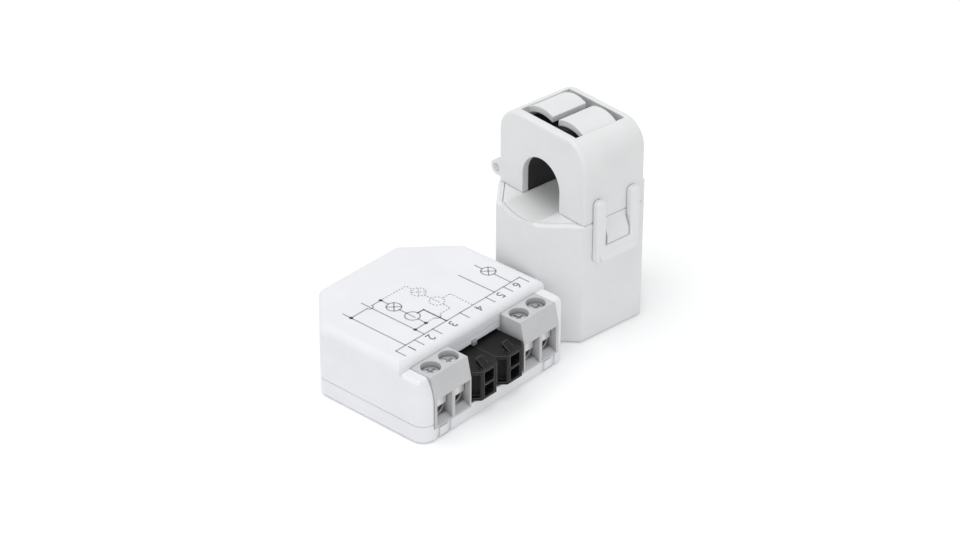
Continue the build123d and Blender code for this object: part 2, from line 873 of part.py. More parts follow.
with BuildPart() as radio_shield:
    block(
        Plane.XY,
        (radio_x - radio_w / 2 + shield_rim, radio_front_y + shield_rim, board_top + radio_t),
        (
            radio_x + radio_w / 2 - shield_rim,
            radio_front_y + shield_rim + shield_l,
            board_top + radio_t + shield_h,
        ),
    )
    fillet(radio_shield.edges().filter_by(Axis.Z), 2 * shield_edge)
    chamfer(radio_shield.faces().sort_by(Axis.Z)[-1].edges(), shield_edge)
save(radio_shield.part, "radio_shield")

# Mains side: filter capacitors, varistor, fusible resistor, bridge and inductor
capacitor_y = radio_front_y + capacitor_d / 4
with BuildPart() as filter_capacitors:
    for can_x in capacitor_xs:
        rim = capacitor_d / 2
        waist = rim - capacitor_groove
        with BuildSketch(Plane.XZ.offset(-capacitor_y)):
            with BuildLine():
                Polyline(
                    (can_x, board_top),
                    (can_x + rim, board_top),
                    (can_x + rim, board_top + capacitor_groove),
                    (can_x + waist, board_top + 2 * capacitor_groove),
                    (can_x + rim, board_top + 3 * capacitor_groove),
                    (can_x + rim, board_top + capacitor_h - capacitor_groove),
                    (can_x + waist, board_top + capacitor_h),
                    (can_x, board_top + capacitor_h),
                    close=True,
                )
            make_face()
        revolve(axis=Axis((can_x, capacitor_y, 0), (0, 0, 1)))
save(filter_capacitors.part, "filter_capacitors")

varistor_x = varistor_t / 2 - inner_x
varistor_y = inner_front_y + part_gap + varistor_d / 2
varistor_z = board_top + lead_d + varistor_d / 2
with BuildPart() as varistor:
    rod(
        Plane.YZ, (varistor_y, varistor_z), varistor_d,
        varistor_x - varistor_t / 2, varistor_x + varistor_t / 2,
    )
    fillet(varistor.edges().filter_by(GeomType.CIRCLE), varistor_t / 4)
    for step in (-1, 1):
        rod(Plane.XY, (varistor_x, varistor_y + step * varistor_d / 4), lead_d, board_top, varistor_z)
save(varistor.part, "varistor")

resistor_x = varistor_x + varistor_t / 2 + part_gap + resistor_d / 2
resistor_y = inner_front_y + part_gap + resistor_l / 2
resistor_z = board_top + resistor_lift + resistor_d / 2
with BuildPart() as fusible_resistor:
    rod(
        Plane.XZ, (resistor_x, resistor_z), resistor_d,
        -resistor_y - resistor_l / 2, resistor_l / 2 - resistor_y,
    )
    fillet(fusible_resistor.edges().filter_by(GeomType.CIRCLE), resistor_d / 4)
    for step in (-1, 1):
        rod(Plane.XY, (resistor_x, resistor_y + step * resistor_l / 4), lead_d, board_top, resistor_z)
save(fusible_resistor.part, "fusible_resistor")

bridge_x = bridge_l / 2 + part_gap - inner_x
bridge_y = inner_front_y + varistor_d + 2 * part_gap + bridge_w / 2
with BuildPart() as bridge_rectifier:
    block(
        Plane.XY,
        (bridge_x - bridge_l / 2, bridge_y - bridge_w / 2, board_top),
        (bridge_x + bridge_l / 2, bridge_y + bridge_w / 2, board_top + bridge_h),
    )
    chamfer(bridge_rectifier.faces().sort_by(Axis.Z)[-1].edges(), bridge_edge)
save(bridge_rectifier.part, "bridge_rectifier")

inductor_spot = (resistor_x + resistor_d / 2 + part_gap + inductor_d / 2, resistor_y + inductor_d / 4)
with BuildPart() as power_inductor:
    inductor_top = board_top + inductor_h
    for diameter, low, high in (
        (inductor_d, board_top, board_top + inductor_flange_t),
        (inductor_waist_d, board_top, inductor_top),
        (inductor_d, inductor_top - inductor_flange_t, inductor_top),
    ):
        rod(Plane.XY, inductor_spot, diameter, low, high)
save(power_inductor.part, "power_inductor")

# Metering chip and the resistors that load the two sensor inputs
burden_x = relay_x - relay_w / 2 - part_gap - burden_l / 2
chip_x = burden_x - burden_l / 2 - part_gap - chip_s / 2
chip_y = radio_front_y - part_gap - chip_s / 2
with BuildPart() as metering_chip:
    block(
        Plane.XY,
        (chip_x - chip_s / 2, chip_y - chip_s / 2, board_top),
        (chip_x + chip_s / 2, chip_y + chip_s / 2, board_top + chip_h),
    )
    chamfer(metering_chip.faces().sort_by(Axis.Z)[-1].edges(), chip_edge)
save(metering_chip.part, "metering_chip")

with BuildPart() as burden_resistors:
    for place in range(4):
        middle = radio_front_y - part_gap - burden_w / 2 - place * burden_pitch
        block(
            Plane.XY,
            (burden_x - burden_l / 2, middle - burden_w / 2, board_top),
            (burden_x + burden_l / 2, middle + burden_w / 2, board_top + burden_h),
        )
save(burden_resistors.part, "burden_resistors")

# Transformer's lower half: an eight-sided tub with a catch and the middle knuckle
saddle_half = hole_r - saddle_land
saddle_r = (saddle_half ** 2 + saddle_depth ** 2) / (2 * saddle_depth)
knuckle_half = jaw_l / 2 - ear_l - slip_gap
catch_z = loop_bottom_z + loop_bar_h + catch_gap
wall_mid_v = (body_w - body_wall_t) / 2
with BuildPart() as ct_lower_shell:
    octagon(0, 0, body_h)
    fillet(ct_lower_shell.edges().filter_by(Axis.Z), body_edge_r)
    fillet(ct_lower_shell.faces().sort_by(Axis.Z)[-1].edges(), rim_r)
    chamfer(ct_lower_shell.faces().sort_by(Axis.Z)[0].edges(), rim_r)
    octagon(body_floor_t, body_wall_t, body_h, Mode.SUBTRACT)
    saddle()
    with BuildSketch(ct_face.offset(-knuckle_half)):
        with BuildLine():
            Polyline(
                (wall_mid_v, body_h - hinge_foot_h),
                (body_w / 2, body_h - hinge_foot_h),
                (pivot_v + knuckle_r, pivot_z),
                (jaw_w / 2 + slip_gap, pivot_z),
                (jaw_w / 2 + slip_gap, body_h - rim_r),
                (wall_mid_v, body_h - rim_r),
                close=True,
            )
        make_face()
        with Locations((pivot_v, pivot_z)):
            Circle(knuckle_r)
            Circle(hinge_pin_d / 2 + press_gap, mode=Mode.SUBTRACT)
    extrude(amount=2 * knuckle_half)
    with BuildSketch(ct_face.offset(-catch_w / 2)):
        with BuildLine():
            Polyline(
                (-wall_mid_v, body_h - rim_r),
                (-body_w / 2, body_h - rim_r),
                (-body_w / 2 - catch_t, catch_z + catch_land_h),
                (-body_w / 2 - catch_t, catch_z),
                (-wall_mid_v, catch_z),
                close=True,
            )
        make_face()
    extrude(amount=catch_w)
    for side_u in (-1, 1):
        for side_v in (-1, 1):
            near_u, far_u = sorted((
                side_u * (body_l / 2 - body_wall_t - rib_t), side_u * (body_l - body_wall_t) / 2
            ))
            rib_v = body_w / 2 - body_corner_l - rib_t
            near_v, far_v = sorted((side_v * (rib_v - rib_t), side_v * rib_v))
            block(
                ct_plan, (near_u, near_v, body_floor_t - fit_gap), (far_u, far_v, cradle_base)
            )
    rod(
        ct_face, (0, lead_z), lead_hole_d + 2 * fit_gap, body_l / 2 - 2 * body_wall_t, body_l,
        Mode.SUBTRACT,
    )
save(ct_lower_shell.part, "ct_lower_shell")

# Cradle: the deck over the winding, hollowed where the cable lies
with BuildPart() as ct_cradle:
    octagon(cradle_base, body_wall_t + slip_gap, cradle_t)
    saddle()
    for side in (-1, 1):
        near_v, far_v = sorted((side * (hole_r - fit_gap), side * (core_reach + fit_gap)))
        block(
            ct_plan,
            (-core_half_l - fit_gap, near_v, 0), (core_half_l + fit_gap, far_v, jaw_z),
            Mode.SUBTRACT,
        )
save(ct_cradle.part, "ct_cradle")

# Lower half of the core, with its bobbin and winding
with BuildPart() as ct_lower_core:
    block(
        ct_plan,
        (-core_half_l, -core_reach, lower_core_z), (core_half_l, core_reach, body_h),
    )
    block(
        ct_plan,
        (-body_l, -hole_r, lower_core_z + core_bar_h), (body_l, hole_r, jaw_z), Mode.SUBTRACT,
    )
save(ct_lower_core.part, "ct_lower_core")

bar_mid_z = lower_core_z + core_bar_h / 2
barrel_half_u = core_half_l + fit_gap + bobbin_wall_t
barrel_half_z = core_bar_h / 2 + fit_gap + bobbin_wall_t
flange_half_u = body_l / 2 - body_wall_t - rib_t - part_gap
flange_half_z = bar_mid_z - body_floor_t
flange_out_v = hole_r - fit_gap
flange_in_v = flange_out_v - bobbin_flange_t
with BuildPart() as ct_bobbin:
    for side in (-1, 1):
        near_v, far_v = sorted((side * flange_in_v, side * flange_out_v))
        block(
            ct_plan,
            (-flange_half_u, near_v, bar_mid_z - flange_half_z),
            (flange_half_u, far_v, bar_mid_z + flange_half_z),
        )
    block(
        ct_plan,
        (-barrel_half_u, -flange_in_v, bar_mid_z - barrel_half_z),
        (barrel_half_u, flange_in_v, bar_mid_z + barrel_half_z),
    )
    block(
        ct_plan,
        (-core_half_l - fit_gap, -core_reach, lower_core_z - fit_gap),
        (core_half_l + fit_gap, core_reach, lower_core_z + core_bar_h + fit_gap),
        Mode.SUBTRACT,
    )
save(ct_bobbin.part, "ct_bobbin")

winding_half_u = flange_half_u - winding_gap
winding_half_z = flange_half_z - winding_gap
with BuildPart() as ct_winding:
    with BuildSketch(ct_side.offset(-flange_in_v)):
        with Locations((0, bar_mid_z)):
            RectangleRounded(2 * winding_half_u, 2 * winding_half_z, winding_half_u - barrel_half_u)
            Rectangle(
                2 * (barrel_half_u + fit_gap), 2 * (barrel_half_z + fit_gap), mode=Mode.SUBTRACT
            )
    extrude(amount=2 * flange_in_v)
save(ct_winding.part, "ct_winding")

# Lead bush in the far nose of the tub
nose_u = body_l / 2
bush_tail_u = nose_u - body_wall_t - bush_inside
with BuildPart() as ct_lead_bush:
    rod(ct_face, (0, lead_z), bush_flange_d, nose_u, nose_u + bush_flange_t)
    fillet(ct_lead_bush.edges().filter_by(GeomType.CIRCLE).sort_by(Axis.X)[-1], bush_flange_t / 2)
    rod(ct_face, (0, lead_z), lead_hole_d, bush_tail_u, nose_u + bush_flange_t / 2)
    rod(ct_face, (0, lead_z), bush_bore_d, 0, body_l, Mode.SUBTRACT)
save(ct_lead_bush.part, "ct_lead_bush")

# Transformer's upper half: the hinged jaw with two spring tabs over its core
hatch_half_l = jaw_l / 2 - hatch_rim_l
hatch_half_w = jaw_w / 2 - hatch_rim_w
tab_root_z = jaw_top_z - tab_sink
tab_crest_z = jaw_top_z + tab_rise
tab_tip_z = jaw_top_z + tab_tip_rise
with BuildPart() as ct_jaw_shell:
    round_shoulders(jaw_z, jaw_top_z, jaw_w / 2, jaw_shoulder_r, jaw_l / 2)
    end_edges = ct_jaw_shell.faces().filter_by(ct_face).edges()
    fillet(end_edges.filter_by(lambda edge: edge.center().Z > pivot_z), jaw_edge_r)
    cable_hole()
    round_shoulders(
        jaw_z - cut_over, core_top_z + fit_gap, core_reach + fit_gap, core_shoulder_r,
        core_half_l + fit_gap, Mode.SUBTRACT,
    )
    block(
        ct_plan,
        (-hatch_half_l, -hatch_half_w, core_top_z),
        (hatch_half_l, hatch_half_w, jaw_top_z + cut_over),
        Mode.SUBTRACT,
    )
    for side in (-1, 1):
        root = side * hatch_half_w
        tip = side * tab_gap / 2
        crest = (root + tip) / 2
        with BuildSketch(ct_face.offset(-tab_w / 2)):
            with BuildLine():
                ThreePointArc((root, tab_root_z), (crest, tab_crest_z), (tip, tab_tip_z))
                Line((tip, tab_tip_z), (tip, tab_tip_z - tab_t))
                ThreePointArc(
                    (tip, tab_tip_z - tab_t), (crest, tab_crest_z - tab_t), (root, tab_root_z - tab_t)
                )
                Polyline(
                    (root, tab_root_z - tab_t), (root + side * tab_t / 2, tab_root_z - tab_t),
                    (root + side * tab_t / 2, tab_root_z), (root, tab_root_z),
                )
            make_face()
        extrude(amount=tab_w)
    rod(
        ct_face, (pivot_v, pivot_z), 2 * (knuckle_r + slip_gap), ear_l - jaw_l / 2, jaw_l / 2 - ear_l,
        Mode.SUBTRACT,
    )
    for start_u in (-jaw_l / 2, jaw_l / 2 - ear_l):
        with BuildSketch(ct_face.offset(start_u)):
            with BuildLine():
                Polyline(
                    (jaw_w / 2 - jaw_wall_t / 2, pivot_z - knuckle_r),
                    (pivot_v, pivot_z - knuckle_r),
                    (pivot_v + knuckle_r, pivot_z),
                    (pivot_v + knuckle_r / sqrt(2), pivot_z + knuckle_r / sqrt(2)),
                    (jaw_w / 2, jaw_z + ear_web_h),
                    (jaw_w / 2 - jaw_wall_t / 2, jaw_z + ear_web_h),
                    close=True,
                )
            make_face()
            with Locations((pivot_v, pivot_z)):
                Circle(knuckle_r)
        extrude(amount=ear_l)
    rod(
        ct_face, (pivot_v, pivot_z), hinge_pin_d + 2 * fit_gap, -jaw_l / 2, jaw_l / 2,
        Mode.SUBTRACT,
    )
save(ct_jaw_shell.part, "ct_jaw_shell")

with BuildPart() as ct_upper_core:
    round_shoulders(jaw_z, core_top_z, core_reach, core_shoulder_r, core_half_l)
    cable_hole()
save(ct_upper_core.part, "ct_upper_core")

with BuildPart() as ct_hinge_pin:
    rod(ct_face, (pivot_v, pivot_z), hinge_pin_d, -jaw_l / 2, jaw_l / 2)
save(ct_hinge_pin.part, "ct_hinge_pin")

# Latch loop: two prongs and a bar that springs over the tub's catch
with BuildPart() as ct_latch_loop:
    with BuildSketch(ct_side.offset(-loop_v)) as outline:
        with BuildLine():
            Polyline(
                (-loop_w / 2, loop_bottom_z), (loop_w / 2, loop_bottom_z),
                (loop_w / 2, loop_top_z), (loop_w / 2 - prong_w, loop_top_z),
                (loop_w / 2 - prong_w, loop_bottom_z + loop_bar_h),
                (prong_w - loop_w / 2, loop_bottom_z + loop_bar_h),
                (prong_w - loop_w / 2, loop_top_z), (-loop_w / 2, loop_top_z),
                close=True,
            )
        make_face()
        fillet(outline.vertices().group_by(Axis.Y)[-1], loop_round_r)
        fillet(outline.vertices().group_by(Axis.Y)[0], loop_round_r)
    extrude(outline.sketch, amount=loop_t)
    outward = Axis((0, 0, 0), (-ct_v[0], -ct_v[1], 0))
    fillet(ct_latch_loop.faces().sort_by(outward)[-1].edges(), loop_edge_r)
    loop_face_v = loop_v - loop_t
    with BuildSketch(ct_face.offset(loop_round_r - loop_w / 2)) as lip:
        with BuildLine():
            Polyline(
                (loop_face_v + loop_edge_r, loop_bottom_z + loop_lip_h),
                (loop_face_v, loop_bottom_z + loop_lip_h),
                (loop_face_v - loop_lip_t, loop_bottom_z + loop_lip_t),
                (loop_face_v + loop_edge_r, loop_bottom_z),
                close=True,
            )
        make_face()
        fillet(lip.vertices().sort_by(Axis.X)[0], loop_lip_r)
    extrude(lip.sketch, amount=loop_w - 2 * loop_round_r)
save(ct_latch_loop.part, "ct_latch_loop")
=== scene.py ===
from math import cos, pi, radians, sin

import bmesh
import bpy
from mathutils import Matrix, Vector


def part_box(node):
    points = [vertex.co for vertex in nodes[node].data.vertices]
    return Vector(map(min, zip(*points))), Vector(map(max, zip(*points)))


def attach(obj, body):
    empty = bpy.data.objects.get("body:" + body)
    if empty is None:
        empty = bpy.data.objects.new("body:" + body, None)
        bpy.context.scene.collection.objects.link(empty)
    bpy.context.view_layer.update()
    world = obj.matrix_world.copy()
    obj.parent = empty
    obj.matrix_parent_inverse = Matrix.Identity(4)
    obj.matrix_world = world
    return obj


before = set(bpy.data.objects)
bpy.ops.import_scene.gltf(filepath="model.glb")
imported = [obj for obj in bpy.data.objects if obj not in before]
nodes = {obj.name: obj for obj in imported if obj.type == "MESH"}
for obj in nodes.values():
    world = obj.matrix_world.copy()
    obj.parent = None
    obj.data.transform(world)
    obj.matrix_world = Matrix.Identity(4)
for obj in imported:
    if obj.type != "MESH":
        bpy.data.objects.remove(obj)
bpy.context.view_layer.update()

# The view: a long lens looks down on the pair from the corner between the
# terminals and the meter's plain end, as for a catalogue picture.
MM = 0.001
look_yaw = radians(48.273)
look_pitch = radians(31.536)
look_from = Vector((-332.55, -310.63, 301.68)) * MM
look_along = Vector((
    sin(look_yaw) * cos(look_pitch), cos(look_yaw) * cos(look_pitch), -sin(look_pitch)
))
film_w = 36
lens_length = 103.61
nearest_seen = 0.01
furthest_seen = 20
camera = bpy.data.objects.new("catalogue_camera", bpy.data.cameras.new("catalogue_camera"))
camera.data.sensor_width = film_w
camera.data.lens = lens_length
camera.data.clip_start = nearest_seen
camera.data.clip_end = furthest_seen
camera.location = look_from
camera.rotation_euler = look_along.to_track_quat("-Z", "Y").to_euler()
bpy.context.scene.collection.objects.link(camera)
bpy.context.scene.camera = camera

# The table: a wide sheet of matt white paper that keeps a soft shadow. It fades
# into the room with distance, and a slight glow on it shows to the camera alone.
floor_size = 6.0
floor_drop = 0.00005
fade_start = 0.25
fade_end = 0.75
paper_white = (0.97, 0.97, 0.97, 1)
paper_roughness = 0.9
paper_gloss = 0.1
glow_white = (1, 1, 1, 1)
glow_strength = 0.12


def wire(tree, kind, sources=(), **settings):
    """Adds a node, sets its properties and named sockets, and fills its other
    sockets, each from another node's output or with a plain value."""
    node = tree.nodes.new(kind)
    for key, value in settings.items():
        if hasattr(node, key):
            setattr(node, key, value)
        else:
            node.inputs[key.replace("_", " ")].default_value = value
    for socket, source in sources:
        if isinstance(source, bpy.types.NodeSocket):
            tree.links.new(source, node.inputs[socket])
        else:
            node.inputs[socket].default_value = source
    return node


def maths(tree, operation, *values):
    """The result of a Math node that works on outputs or plain numbers."""
    return wire(tree, "ShaderNodeMath", enumerate(values), operation=operation).outputs["Value"]


sheet = bmesh.new()
bmesh.ops.create_grid(sheet, x_segments=2, y_segments=2, size=floor_size / 2)
floor = bpy.data.objects.new("paper_floor", bpy.data.meshes.new("paper_floor"))
sheet.to_mesh(floor.data)
sheet.free()
floor.location.z = -floor_drop
bpy.context.scene.collection.objects.link(floor)

paper = bpy.data.materials.new("white_paper")
paper.use_nodes = True
paper_tree = paper.node_tree
paper_shader = paper_tree.nodes["Principled BSDF"]
paper_shader.inputs["Base Color"].default_value = paper_white
paper_shader.inputs["Roughness"].default_value = paper_roughness
paper_shader.inputs["Specular IOR Level"].default_value = paper_gloss
paper_shader.inputs["Emission Color"].default_value = glow_white
paper_seen = wire(paper_tree, "ShaderNodeLightPath").outputs["Is Camera Ray"]
paper_glow = maths(paper_tree, "MULTIPLY", paper_seen, glow_strength)
paper_tree.links.new(paper_glow, paper_shader.inputs["Emission Strength"])
paper_place = wire(paper_tree, "ShaderNodeTexCoord").outputs["Object"]
paper_reach = wire(paper_tree, "ShaderNodeVectorMath", [(0, paper_place)], operation="LENGTH")
paper_fade = wire(
    paper_tree, "ShaderNodeMapRange", [("Value", paper_reach.outputs["Value"])],
    interpolation_type="SMOOTHSTEP",
    From_Min=fade_start, From_Max=fade_end, To_Min=1.0, To_Max=0.0,
)
paper_tree.links.new(paper_fade.outputs["Result"], paper_shader.inputs["Alpha"])
floor.data.materials.append(paper)

# The room: white all round where the camera, a mirror image or glass shows it,
# and dimmer as a light. Three large soft lamps hang above, left and in front.
room_tint = (0.98, 0.99, 1, 1)
room_power = 0.60
backdrop_white = (1, 1, 1, 1)
backdrop_power = 1.0
lamp_aim = Vector((0.01, 0, 0.015))

room = bpy.data.worlds.new("white_room")
room.use_nodes = True
bpy.context.scene.world = room
room_tree = room.node_tree
room_light = room_tree.nodes["Background"]
room_light.inputs["Color"].default_value = room_tint
room_light.inputs["Strength"].default_value = room_power
backdrop = wire(room_tree, "ShaderNodeBackground", Color=backdrop_white, Strength=backdrop_power)
ray_kind = wire(room_tree, "ShaderNodeLightPath").outputs
straight = maths(room_tree, "MAXIMUM", ray_kind["Is Camera Ray"], ray_kind["Is Glossy Ray"])
shown = maths(room_tree, "MAXIMUM", straight, ray_kind["Is Transmission Ray"])
room_choice = wire(room_tree, "ShaderNodeMixShader", [
    ("Fac", shown), (1, room_light.outputs["Background"]), (2, backdrop.outputs["Background"]),
])
room_tree.links.new(
    room_choice.outputs["Shader"], room_tree.nodes["World Output"].inputs["Surface"]
)

for name, place, size, power in (
    ("overhead_lamp", (-0.15, 0.10, 0.90), 0.9, 3.8),
    ("left_lamp", (-0.90, 0.05, 0.35), 0.7, 0.7),
    ("front_lamp", (-0.10, -0.95, 0.40), 0.7, 1.0),
):
    lamp = bpy.data.objects.new(name, bpy.data.lights.new(name, "AREA"))
    lamp.data.shape = "SQUARE"
    lamp.data.size = size
    lamp.data.energy = power
    lamp.location = place
    lamp.rotation_euler = (lamp_aim - lamp.location).to_track_quat("-Z", "Y").to_euler()
    bpy.context.scene.collection.objects.link(lamp)
bpy.context.scene.view_settings.view_transform = "Standard"

# Meter's lid: injection-moulded white plastic with a fine spark-eroded skin.
# It snaps over the tray, and a wide bay is left open for the terminals.
lid_white = (0.86, 0.86, 0.885)
cloud_size = 140.0
rough_swing = 0.04
grain_height = 0.00004


def effect(name, inputs):
    """An empty shader group that puts out a colour, a roughness and a normal,
    and its two end nodes."""
    group = bpy.data.node_groups.new(name, "ShaderNodeTree")
    for socket, kind, value in inputs:
        made = group.interface.new_socket(socket, in_out="INPUT", socket_type=kind)
        made.default_value = value
    for socket, kind in (
        ("Colour", "NodeSocketColor"), ("Roughness", "NodeSocketFloat"),
        ("Normal", "NodeSocketVector"),
    ):
        group.interface.new_socket(socket, in_out="OUTPUT", socket_type=kind)
    return group, group.nodes.new("NodeGroupInput"), group.nodes.new("NodeGroupOutput")


def shaded(tree, colour, share):
    """A colour made lighter or darker by a value that changes over the surface."""
    node = wire(
        tree, "ShaderNodeVectorMath", [(0, colour), ("Scale", share)], operation="SCALE"
    )
    return node.outputs["Vector"]


def dressed(name, group, values):
    """A new material with the colour, roughness and normal of a shared effect."""
    material = bpy.data.materials.new(name)
    material.use_nodes = True
    tree = material.node_tree
    shader = tree.nodes["Principled BSDF"]
    part = tree.nodes.new("ShaderNodeGroup")
    part.node_tree = group
    for socket, value in values:
        part.inputs[socket].default_value = value
    tree.links.new(part.outputs["Colour"], shader.inputs["Base Color"])
    tree.links.new(part.outputs["Roughness"], shader.inputs["Roughness"])
    tree.links.new(part.outputs["Normal"], shader.inputs["Normal"])
    return material


def finish_nodes(material, *names):
    """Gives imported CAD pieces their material."""
    for name in names:
        for slot in nodes[name].material_slots:
            slot.material = material


skin, skin_in, skin_out = effect("moulded_skin", [
    ("Colour", "NodeSocketColor", (0.8, 0.8, 0.8, 1)), ("Roughness", "NodeSocketFloat", 0.5),
    ("Grain size", "NodeSocketFloat", 5000.0), ("Grain depth", "NodeSocketFloat", 0.2),
    ("Edge radius", "NodeSocketFloat", 0.0002), ("Mottle", "NodeSocketFloat", 0.03),
    ("Painted edge highlight", "NodeSocketFloat", 0.08),
])
skin_place = wire(skin, "ShaderNodeTexCoord").outputs["Object"]
soft_edge = wire(
    skin, "ShaderNodeBevel", [("Radius", skin_in.outputs["Edge radius"])], samples=6
).outputs["Normal"]
true_face = wire(skin, "ShaderNodeNewGeometry").outputs["Normal"]
facing = wire(
    skin, "ShaderNodeVectorMath", [(0, soft_edge), (1, true_face)], operation="DOT_PRODUCT"
).outputs["Value"]
edge_mask = wire(
    skin, "ShaderNodeMapRange", [("Value", facing)], From_Min=1.0, From_Max=0.75
).outputs["Result"]
cloud = wire(
    skin, "ShaderNodeTexNoise", [("Vector", skin_place)],
    Scale=cloud_size, Detail=3.0, Roughness=0.55,
).outputs["Fac"]
grain = wire(
    skin, "ShaderNodeTexNoise",
    [("Vector", skin_place), ("Scale", skin_in.outputs["Grain size"])],
    Detail=2.0, Roughness=0.6,
).outputs["Fac"]
cloud_step = wire(
    skin, "ShaderNodeMapRange", [("Value", cloud)], From_Min=0.3, From_Max=0.7, To_Min=-1.0
).outputs["Result"]
mottle = maths(skin, "MULTIPLY", cloud_step, skin_in.outputs["Mottle"])
# Painted highlight: edges are painted lighter, where a rounded edge would catch the light, and the
# same amount makes them a little glossier.
painted_edge_highlight = maths(skin, "MULTIPLY", edge_mask, skin_in.outputs["Painted edge highlight"])
mottle_and_painted_highlight = maths(skin, "ADD", maths(skin, "ADD", mottle, painted_edge_highlight), 1.0)
skin_tint = shaded(skin, skin_in.outputs["Colour"], mottle_and_painted_highlight)
skin.links.new(skin_tint, skin_out.inputs["Colour"])
rough_wave = maths(skin, "MULTIPLY_ADD", cloud_step, rough_swing, skin_in.outputs["Roughness"])
edge_glossed_roughness = maths(skin, "SUBTRACT", rough_wave, painted_edge_highlight)
skin.links.new(edge_glossed_roughness, skin_out.inputs["Roughness"])
skin_bump = wire(
    skin, "ShaderNodeBump",
    [("Height", grain), ("Strength", skin_in.outputs["Grain depth"]), ("Normal", soft_edge)],
    Distance=grain_height,
).outputs["Normal"]
skin.links.new(skin_bump, skin_out.inputs["Normal"])


def moulded(name, colour, roughness, grain=5000.0, depth=0.2, edge=0.0002,
            mottle=0.02, painted_highlight=0.06, gloss=0.5):
    """A moulded plastic with a fine grain, and edges that look a little rounded and carry a painted
    highlight: lighter in colour and a little glossier.
    """
    material = dressed(name, skin, (
        ("Colour", (*colour, 1)), ("Roughness", roughness), ("Grain size", grain),
        ("Grain depth", depth), ("Edge radius", edge), ("Mottle", mottle), ("Painted edge highlight", painted_highlight),
    ))
    shader = material.node_tree.nodes["Principled BSDF"]
    shader.inputs["Specular IOR Level"].default_value = gloss
    return material


finish_nodes(moulded("lid_white", lid_white, roughness=0.48), "top_housing")

# Wiring print on the lid: one pass of grey pad-printing ink, a few hundredths
# of a millimetre thick. Plain numbers stand beside the six connections.
ink_t = 0.03
lid_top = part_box("top_housing")[1].z / MM
ink_middle = lid_top + ink_t / 2
merge_reach = 1e-5
thin_line = 0.26
solid_line = 0.34
ring_r = 1.5
ring_steps = 40
ring_dashes = 13
line_hop_r = 0.7
solid_hop_r = 0.75
hop_steps = 12
dot_r = 0.42
dot_sides = 20
dash_l = 0.36
dash_gap = 0.36
cross_angles = (pi / 4, 3 * pi / 4)
figure_h = 2.9
figure_drop = 1.5
figure_steps = 4
bar_y = -8.4
tick_l = 2.4
tick_xs = (-17.5, -12.35, -7.25, 0.5, 8.0, 13.2, 18.0)
feed_xs = (-14.8, -9.6, -3.3, 4.3, 10.6, 15.5)
joint_spots = ((feed_xs[0], 5.95), (-6.35, 6.1), (feed_xs[1], -6.05), (-6.5, -6.0))
upper_lamp = (-6.4, 2.55)
lower_ring = (-6.4, -2.35)
side_lamp = (15.65, -2.3)
dotted_lamp = (0.75, 2.72)
dotted_ring = (0.72, -2.22)
ink_share = 0.65
pore_size = 7000.0


def stroke(mesh, start, end, width):
    """A straight printed line between two points of the lid."""
    run = Vector(end) - Vector(start)
    middle = (Vector(start) + Vector(end)) / 2
    turn = Matrix.Rotation(run.angle_signed(Vector((1, 0))), 4, "Z")
    size = Matrix.Diagonal((run.length + width, width, ink_t, 1))
    shift = Matrix.Translation((middle.x, middle.y, ink_middle))
    bmesh.ops.create_cube(mesh, size=1, matrix=shift @ turn @ size)


def dashes(mesh, start, end, width):
    """A dotted line: short strokes with even gaps."""
    run = Vector(end) - Vector(start)
    count = max(1, round(run.length / (dash_l + dash_gap)))
    for place in range(count):
        middle = Vector(start) + run * (place + 0.5) / count
        half = run.normalized() * (dash_l - width) / 2
        stroke(mesh, middle - half, middle + half, width)


def arc(mesh, centre, radius, sweep, start, steps):
    """A printed arc, turned from the section of one line. A full turn is closed."""
    section = bmesh.ops.create_grid(
        mesh, x_segments=1, y_segments=1, size=0.5,
        matrix=Matrix.Translation((*centre, ink_middle))
        @ Matrix.Rotation(start, 4, "Z") @ Matrix.Translation((radius, 0, 0))
        @ Matrix.Rotation(pi / 2, 4, "X") @ Matrix.Diagonal((thin_line, ink_t, 1, 1)),
    )
    whole = sweep == 2 * pi
    face = section["verts"][0].link_faces[0]
    bmesh.ops.spin(
        mesh, geom=[face, *face.edges, *face.verts], cent=(*centre, lid_top), axis=(0, 0, 1),
        angle=sweep, steps=steps, use_merge=whole, use_duplicate=False,
    )
    if whole:
        shut_in = [
            side for side in mesh.faces
            if side.calc_area() > 0 and abs(side.normal.z) < 0.01
            and sum(len(edge.link_faces) > 2 for edge in side.edges) == 4
        ]
        bmesh.ops.delete(mesh, geom=shut_in, context="FACES_ONLY")


def ring(mesh, centre):
    """A printed ring, the usual sign for a device."""
    arc(mesh, centre, ring_r, 2 * pi, 0.0, ring_steps)


def hop(mesh, centre, radius):
    """A half ring, where one line hops over another."""
    arc(mesh, centre, radius, pi, pi, hop_steps)


def cross(mesh, centre, line):
    """Two crossed lines in a ring, the usual sign for a lamp."""
    for angle in cross_angles:
        arm = Vector((cos(angle), sin(angle))) * ring_r
        line(mesh, Vector(centre) - arm, Vector(centre) + arm, thin_line)


def piece_from(mesh, name, material, body):
    """Turns a finished bmesh, worked in millimetres, into a piece of the object."""
    bmesh.ops.remove_doubles(mesh, verts=mesh.verts, dist=merge_reach)
    bmesh.ops.recalc_face_normals(mesh, faces=mesh.faces)
    bmesh.ops.scale(mesh, vec=(MM, MM, MM), verts=mesh.verts)
    piece = bpy.data.objects.new(name, bpy.data.meshes.new(name))
    mesh.to_mesh(piece.data)
    mesh.free()
    piece.data.materials.append(material)
    bpy.context.scene.collection.objects.link(piece)
    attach(piece, body)


